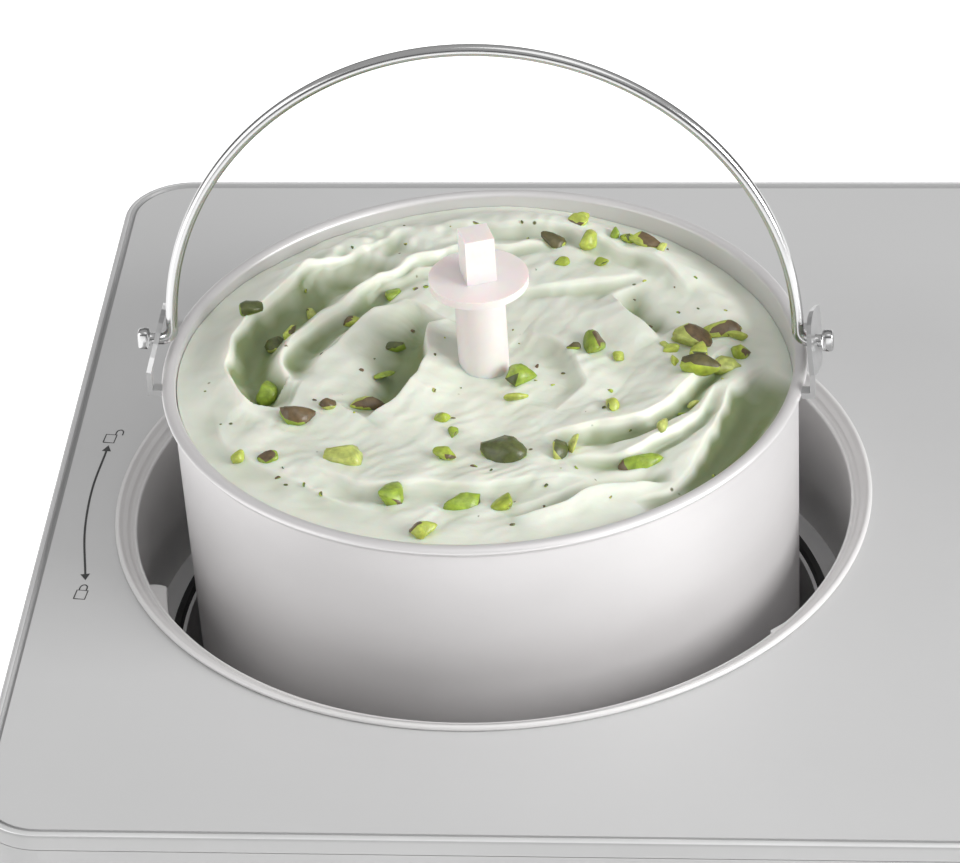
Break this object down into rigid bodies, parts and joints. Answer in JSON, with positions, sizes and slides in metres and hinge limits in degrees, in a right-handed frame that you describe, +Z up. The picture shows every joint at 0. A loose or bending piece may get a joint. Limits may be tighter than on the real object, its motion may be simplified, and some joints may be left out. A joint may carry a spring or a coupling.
{
  "type": "ice cream maker",
  "caption": "Counter-top compressor ice cream maker: a low metal box with a chilled well, a lift-out aluminium bucket with a wire bail, and a dasher driven from below.",
  "frame": {"origin": "centre of the footprint, in the plane of the feet's undersides", "axes": "+X to the right along the case, +Y to the back, +Z up"},
  "size_m": [0.425, 0.285, 0.3548],
  "materials": {
    "shell_paint": "satin light grey",
    "trim_metal": "satin",
    "top_steel": "fine brushed",
    "collar_plastic": "semi gloss",
    "rubber": "matte",
    "well_aluminium": "satin",
    "bucket_aluminium": "satin anodised",
    "ear_steel": "satin",
    "wire_steel": "polished",
    "dasher_plastic": "milky",
    "ice_cream": "soft",
    "spindle_steel": "machined",
    "acetal": "moulded",
    "bronze": "sintered",
    "copper": "drawn",
    "foam": "foam",
    "zinc_steel": "galvanised",
    "black_paint": "satin",
    "core_iron": "raw",
    "fin_aluminium": "thin sheet",
    "black_plastic": "moulded",
    "facia_plastic": "gloss",
    "button_plastic": "satin",
    "lens": "clear",
    "board": "solder mask",
    "probe_metal": "turned"
  },
  "bodies": {
    "housing": {"housing_shell": "shell_paint", "top_trim": "trim_metal", "top_plate": "top_steel", "well_collar": "collar_plastic", "rubber_feet": "rubber", "compressor_grommets": "rubber", "shaft_seal": "rubber", "well_seal": "rubber", "evaporator_well": "well_aluminium", "idler_pin": "spindle_steel", "bronze_bushes": "bronze", "evaporator_coil": "copper", "discharge_line": "copper", "suction_line": "copper", "capillary_tube": "copper", "condenser_tube": "copper", "filter_drier": "copper", "motor_windings": "copper", "insulation_jacket": "foam", "base_plate": "zinc_steel", "motor_bridge": "zinc_steel", "motor_stator": "zinc_steel", "compressor_plate": "zinc_steel", "compressor_bolts": "zinc_steel", "foot_screws": "zinc_steel", "compressor_pot": "black_paint", "compressor_core": "core_iron", "condenser_fins": "fin_aluminium", "gearbox_case": "black_plastic", "gearbox_cover": "black_plastic", "fan_frame": "black_plastic", "mains_inlet": "black_plastic", "control_panel": "facia_plastic", "display_lens": "lens", "control_board": "board", "supply_board": "board", "display_module": "board", "temperature_probe": "probe_metal", "inlet_pins": "probe_metal"},
    "motor": {"motor_rotor": "spindle_steel", "motor_shaft": "spindle_steel", "motor_pinion": "acetal"},
    "idler": {"idler_gear": "acetal"},
    "output": {"output_gear": "acetal", "output_shaft": "spindle_steel", "drive_coupling": "acetal"},
    "bucket": {"bucket_shell": "bucket_aluminium", "bucket_bush": "acetal", "ear_left": "ear_steel", "ear_right": "ear_steel", "ice_cream": "ice_cream"},
    "bail": {"bail_handle": "wire_steel"},
    "spindle": {"drive_spindle": "spindle_steel", "spindle_clip": "spindle_steel"},
    "dasher": {"dasher": "dasher_plastic"},
    "fan": {"fan_impeller": "black_plastic"},
    "power_button": {"power_button": "button_plastic"},
    "time_button": {"time_button": "button_plastic"},
    "start_button": {"start_button": "button_plastic"}
  },
  "joints": [
    {"name": "bucket_lift", "type": "slide", "parent": "housing", "child": "bucket", "axis": [0, 0, 1], "range_m": [-0.056, 0.09]},
    {"name": "bail_swing", "type": "hinge", "parent": "bucket", "child": "bail", "pos_m": [-0.1002, -0.0038, 0.2766], "axis": [1, 0, 0], "range_deg": [-80, 99]},
    {"name": "spindle_spin", "type": "hinge", "parent": "bucket", "child": "spindle", "pos_m": [-0.1002, -0.0063, 0.1621], "axis": [0, 0, 1], "continuous": true, "deforming": ["ice_cream"]},
    {"name": "dasher_lift", "type": "slide", "parent": "spindle", "child": "dasher", "axis": [0, 0, 1], "range_m": [0, 0.045]},
    {"name": "motor_spin", "type": "hinge", "parent": "housing", "child": "motor", "pos_m": [-0.0324, -0.0063, 0.04], "axis": [0, 0, 1], "continuous": true},
    {"name": "idler_spin", "type": "hinge", "parent": "housing", "child": "idler", "pos_m": [-0.06255, -0.0063, 0.07], "axis": [0, 0, 1], "continuous": true},
    {"name": "output_spin", "type": "hinge", "parent": "housing", "child": "output", "pos_m": [-0.1002, -0.0063, 0.08], "axis": [0, 0, 1], "continuous": true},
    {"name": "fan_spin", "type": "hinge", "parent": "housing", "child": "fan", "pos_m": [0.118, 0.0725, 0.092], "axis": [0, 1, 0], "continuous": true},
    {"name": "power_button_press", "type": "slide", "parent": "housing", "child": "power_button", "axis": [0, 0, 1], "range_m": [-0.001, 0], "stiffness_N_per_m": 300},
    {"name": "time_button_press", "type": "slide", "parent": "housing", "child": "time_button", "axis": [0, 0, 1], "range_m": [-0.001, 0], "stiffness_N_per_m": 300},
    {"name": "start_button_press", "type": "slide", "parent": "housing", "child": "start_button", "axis": [0, 0, 1], "range_m": [-0.001, 0], "stiffness_N_per_m": 300}
  ],
  "couplings": [
    {"joint": "idler_spin", "follows": "motor_spin", "ratio": -0.25},
    {"joint": "output_spin", "follows": "motor_spin", "ratio": 0.0625},
    {"joint": "spindle_spin", "follows": "motor_spin", "ratio": 0.0625}
  ]
}
